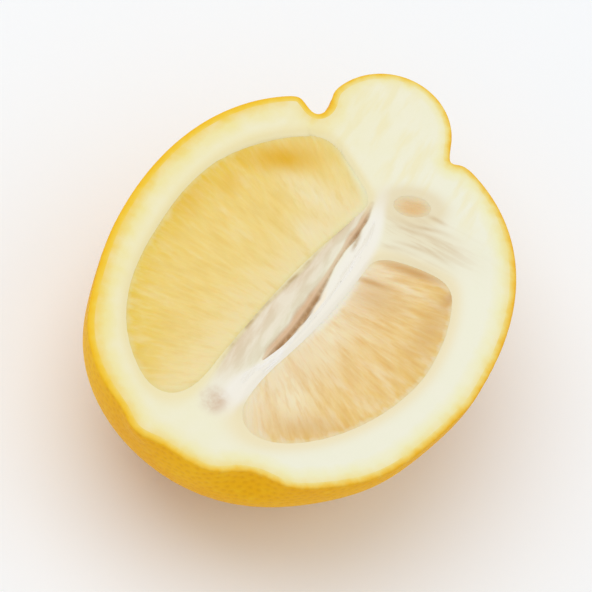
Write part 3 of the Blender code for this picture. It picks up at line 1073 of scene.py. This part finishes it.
# %% Pulp material
def pulp_material(name, streaky, body, rind_side, core_side, deep, pale, dark_streak, light_streak, border,
                  pith):
    material, tree = new_material(name)
    fibre = add_node(tree, "ShaderNodeAttribute", attribute_name="fibre").outputs["Vector"]

    def fan_noise(scale, detail, stretch, roughness=0.5):
        return noise(tree, scale, detail, (*stretch, 1), fibre, roughness)

    colour = mark(tree, body, "rind_side", 1.0, rind_side)
    colour = mark(tree, colour, "core_side", 0.9, core_side)
    cloudy = remap(tree, fan_noise(0.12, 3.0, (1, 2.5)), 0.35, 0.65, 0.5, 1.1)
    colour = mark(tree, colour, "pale", 1.0, pale, cloudy)
    blotches = fan_noise(0.13, 4.0, (1, 2.6), 0.6)
    colour = blend(tree, remap(tree, blotches, 0.5, 0.64, 0.0, 0.4), colour, dark_streak)
    colour = blend(tree, remap(tree, blotches, 0.48, 0.34, 0.0, 0.38), colour, core_side)
    fine = fan_noise(0.24, 2.5, (1, 5.5), 0.6)
    calm = calculate(tree, "MULTIPLY_ADD", kept_number(tree, "core_side"), -0.6, 1.0)
    darker = product(tree, remap(tree, fine, 0.5, 0.66, 0.0, streaky), calm)
    colour = blend(tree, darker, colour, dark_streak)
    colour = blend(tree, remap(tree, fine, 0.48, 0.32, 0.0, 0.8 * streaky), colour, light_streak)
    tint = remap(tree, kept_number(tree, "sac_tint"), 0.3, 1.0, 0.0, 0.16)
    crease = product(tree, rest_of(tree, kept_number(tree, "sac_dome")), 0.16)
    for share in (tint, crease):
        colour = blend(tree, share, colour, light_streak)
    colour = mark(tree, colour, "warm", 0.4, deep)
    at_border = kept_number(tree, "border")
    teeth = remap(tree, fan_noise(0.12, 3.0, (0.4, 6)), 0.35, 0.65, 0.45, -0.25)
    uneven = calculate(tree, "ADD", at_border, teeth)
    colour = blend(tree, remap(tree, uneven, 0.6, 1.2, 0.0, 1.4 * streaky**1.2), colour, pith)
    colour = blend(tree, remap(tree, at_border, 0.6, 1.0, 0.0, 0.6), colour, border)
    fading = calculate(tree, "MULTIPLY", at_border, kept_number(tree, "faded"), clamp=True)
    colour = blend(tree, remap(tree, fading, 0.05, 0.55, 0.0, 0.9), colour, pith)
    colour = mark(tree, colour, "deep", 1.0, deep, remap(tree, cloudy, 0.5, 1.1, 0.75, 1.0))
    film = remap(tree, noise(tree, 1.2), 0.3, 0.7, 0.35, 0.5)
    shader = finish_material(material, 0.3, Base_Color=colour, Roughness=film,
                             Normal=bumpy(tree, fine, 0.06 * MM, 0.4))
    shader.inputs["Subsurface Weight"].default_value = 0.25
    shader.inputs["Subsurface Radius"].default_value = (1.0, 0.6, 0.25)
    shader.inputs["Subsurface Scale"].default_value = 1.0 * MM
    return material


PULPS = {
    "left_segment": pulp_material(
        "left_pulp", 0.28, body=(240, 209, 120), rind_side=(234, 198, 66),
        core_side=(240, 221, 168), deep=(229, 176, 26), pale=(242, 229, 190),
        dark_streak=(229, 194, 100), light_streak=(242, 224, 156), border=(232, 206, 130),
        pith=(240, 230, 188)),
    "right_segment": pulp_material(
        "right_pulp", 0.45, body=(236, 200, 128), rind_side=(233, 194, 108),
        core_side=(240, 222, 190), deep=(208, 162, 98), pale=(242, 227, 190),
        dark_streak=(224, 176, 94), light_streak=(243, 223, 174), border=(235, 210, 152),
        pith=(241, 232, 212)),
    "grazed_segment": pulp_material(
        "grazed_pulp", 0.5, body=(228, 204, 158), rind_side=(228, 202, 152),
        core_side=(228, 202, 152), deep=(227, 188, 130), pale=(222, 206, 172),
        dark_streak=(216, 182, 132), light_streak=(236, 218, 180), border=(229, 213, 175),
        pith=(229, 213, 175)),
}

# %% [markdown]
# ### Fibre finish
#
# The fibres are the whitest thing in the fruit, dull and a little silky. Noise stretched along the core
# makes some of them creamier than others.

# %% Fibre material
fibre_material, tree = new_material("core_fibre")
silky = noise(tree, 0.9, stretch=(1.5, 0.12, 1))
creamy = blend(tree, remap(tree, silky, 0.35, 0.65), (241, 236, 222), (247, 244, 238))
finish_material(fibre_material, 0.25, Base_Color=creamy, Roughness=remap(tree, silky, 0.3, 0.7, 0.55, 0.7),
                Normal=bumpy(tree, silky, 0.05 * MM, 0.4))

# %% [markdown]
# ## Putting the machines to work
#
# The materials exist now, so the node machines can run: pores on the rind, sacs on the pulp, and fibres
# along a guide curve on the strand's line. Then each piece is attached to the body it rides on, and the
# plain model is hidden.

# %% Run the machines
rind.data = run_machine(rind, pore_machine, Spacing=1.15 * MM, Width=0.55 * MM, Depth=0.09 * MM, Seed=7,
                        Material=rind_material)
pith.data.materials.append(pith_material)
for name, (pad, _) in pads.items():
    pad.data = run_machine(pad, sac_machine, Material=PULPS[name])
    print(name, "-", len(pad.data.polygons), "faces")

# %% Lay the core's fibres
guide_curve = bpy.data.curves.new("strand_guide", "CURVE")
guide_curve.dimensions = "3D"
guide_points = STRAND_LINE[10:-4:6]
spline = guide_curve.splines.new("POLY")
spline.points.add(len(guide_points) - 1)
for point, (x, y) in zip(spline.points, guide_points):
    level = y / MM
    dive = 0.3 * MM * np.interp(level, [-28, -21, 14, 22], [1, 0, 0, 1])
    aside = MM * np.interp(level, [-26, -20, -8, 4], [0.2, 0.7, 0.45, 0.2])
    point.co = (x - aside, y, CUT - 0.04 * MM - dive, 1)
    point.radius = MM * np.interp(level, [-29, -24, -14, -4, 8, 14, 22], [1.6, 1.1, 0.45, 0.6, 1.1, 0.6, 0.4])
guide = add_object("strand_guide", guide_curve)
strand = add_object("core_strand", run_machine(guide, fibre_machine, Material=fibre_material))
bpy.data.objects.remove(guide)
strand.data.shade_smooth()
print("core_strand -", len(strand.data.polygons), "faces")

# %% Hand the pieces over
SLOTS = {rind: "rind", pith: "pith", strand: "core", **{pad: "pulp" for pad, _ in pads.values()}}
for piece, slot in SLOTS.items():
    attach(piece, "root")
    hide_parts("lemon_half")
print(len(SLOTS), "pieces handed over")

# %% [markdown]
# ## Floor, light and camera
#
# A pale floor and large soft lights show the fruit without hard shadows. The camera looks down at the
# cut face from a little to the right of the stem end, turned a little, through a long lens that keeps
# the fruit's proportions true.

# %% Floor
FLOOR_HALF = 3.0
floor_mesh = bpy.data.meshes.new("floor")
corners = [(x * FLOOR_HALF, y * FLOOR_HALF, 0) for x, y in ((-1, -1), (1, -1), (1, 1), (-1, 1))]
floor_mesh.from_pydata(corners, [], [(0, 1, 2, 3)])
floor = add_object("floor", floor_mesh)
floor_material, tree = new_material("pale_floor")
pale_tone = blend(tree, noise(tree, 0.002), (247, 250, 253), (250, 252, 254))
finish_material(floor_material, 0.1, Base_Color=pale_tone).inputs["Roughness"].default_value = 0.9
floor_mesh.materials.append(floor_material)


# %% Light
def soft_light(name, place, size, power):
    light = bpy.data.lights.new(name, "AREA")
    light.shape = "DISK"
    light.size = size
    light.energy = power
    lamp = add_object(name, light)
    lamp.location = place
    lamp.rotation_euler = (-Vector(place)).to_track_quat("-Z", "Y").to_euler()
    print(name, "-", power, "watts")


soft_light("key_light", (-0.3, 0.1, 1.0), 1.2, 4.0)
soft_light("fill_light", (0.8, 0.4, 0.8), 0.9, 0.8)
world = bpy.data.worlds.new("pale_room")
world.use_nodes = True
world.node_tree.nodes["Background"].inputs["Color"].default_value = (1, 1, 1, 1)
world.node_tree.nodes["Background"].inputs["Strength"].default_value = 0.69
bpy.context.scene.world = world
bpy.context.scene.view_settings.view_transform = "Standard"

# %% Camera
AZIMUTH, ELEVATION, ROLL = math.radians(10), math.radians(55), math.radians(20)
FIELD = 93.8 * MM  # what the camera's view spans at the fruit
camera_data = bpy.data.cameras.new("camera")
camera_data.lens = 900
turn = Matrix.Rotation(AZIMUTH, 4, "Z") @ Matrix.Rotation(math.pi / 2 - ELEVATION, 4, "X")
turn = turn @ Matrix.Rotation(ROLL, 4, "Z")
distance = FIELD * camera_data.lens / camera_data.sensor_width
target = (low + high) / 2 + Vector((-1.7, -0.8, 7.2)) * MM  # so that the fruit sits in the middle
camera_data.clip_start = distance * 0.05
camera_data.clip_end = distance * 10
camera = add_object("camera", camera_data)
camera.matrix_world = Matrix.Translation(target + turn @ Vector((0, 0, distance))) @ turn
bpy.context.scene.camera = camera
print("camera", round(distance, 3), "m away")
